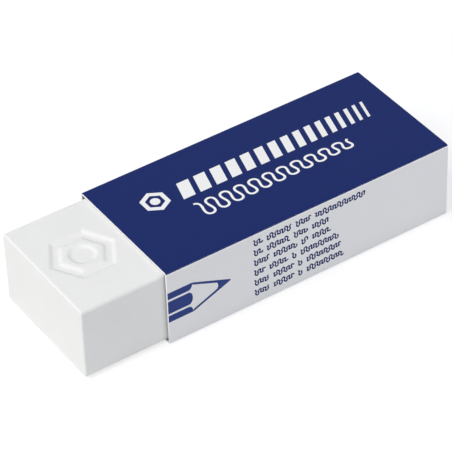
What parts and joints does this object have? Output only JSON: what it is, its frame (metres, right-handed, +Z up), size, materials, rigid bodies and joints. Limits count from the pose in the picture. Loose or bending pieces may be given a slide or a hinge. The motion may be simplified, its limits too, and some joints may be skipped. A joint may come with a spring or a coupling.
{
  "type": "block eraser in card sleeve",
  "caption": "Rectangular white vinyl block eraser, partly pushed out of a folded and glued card sleeve that slides along it.",
  "frame": {"origin": "middle of the whole object's base, on the surface it rests on", "axes": "+X along the block from its bare end to the end inside the sleeve, +Z up, the sleeve's printed side faces -Y"},
  "size_m": [0.068, 0.0242, 0.0141],
  "materials": {
    "vinyl": "moulded soft white vinyl, matt",
    "printed_card": "white board printed dark blue, satin coating, white raw edges"
  },
  "bodies": {
    "sleeve": {"card_sleeve": "printed_card"},
    "block": {"eraser_block": "vinyl"}
  },
  "joints": [
    {"name": "block_slide", "type": "slide", "parent": "sleeve", "child": "block", "axis": [-1, 0, 0], "range_m": [-0.065, 0.048]}
  ]
}
